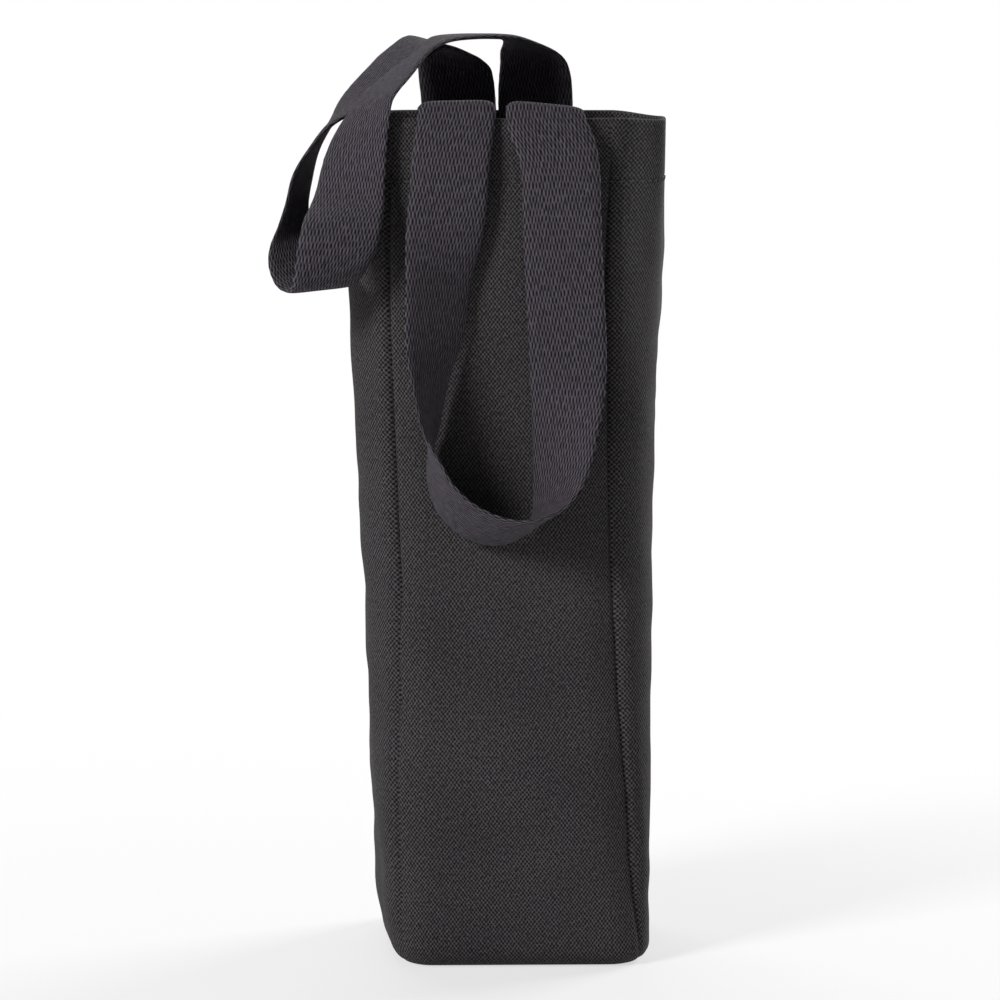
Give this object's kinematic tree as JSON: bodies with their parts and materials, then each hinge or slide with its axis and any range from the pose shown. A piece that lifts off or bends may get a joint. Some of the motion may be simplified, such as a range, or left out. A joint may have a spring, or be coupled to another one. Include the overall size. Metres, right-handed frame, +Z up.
{
  "type": "bottle carrier",
  "caption": "Tall soft canvas bag for a bottle: a strip forms front, base and back, side gussets close it, and webbing handles are sewn inside the turned hem.",
  "frame": {"origin": "middle of the flat base, on the surface the bag stands on", "axes": "+Z up through the mouth, +X to the right seen from the front, front panel looks along -Y"},
  "size_m": [0.1319, 0.1167, 0.3068],
  "materials": {
    "canvas": "matte plain-weave cotton duck",
    "webbing": "matte warp-faced cotton webbing",
    "thread": "matte sewing thread"
  },
  "bodies": {
    "bag": {"body_panel": "canvas", "left_gusset": "canvas", "right_gusset": "canvas", "front_handle_left_end": "webbing", "front_handle_right_end": "webbing", "back_handle_left_end": "webbing", "back_handle_right_end": "webbing", "hem_stitching": "thread"},
    "front_handle": {"front_handle_loop": "webbing"},
    "back_handle": {"back_handle_loop": "webbing"}
  },
  "joints": [
    {"name": "front_handle_swing", "type": "hinge", "parent": "bag", "child": "front_handle", "pos_m": [0, -0.03925, 0.2803], "axis": [-1, 0, 0], "range_deg": [0, 180], "deforming": ["front_handle_left_end", "front_handle_right_end"]},
    {"name": "back_handle_swing", "type": "hinge", "parent": "bag", "child": "back_handle", "pos_m": [0, 0.0367, 0.2818], "axis": [-1, 0, 0], "range_deg": [0, 90], "deforming": ["back_handle_left_end", "back_handle_right_end"]}
  ]
}
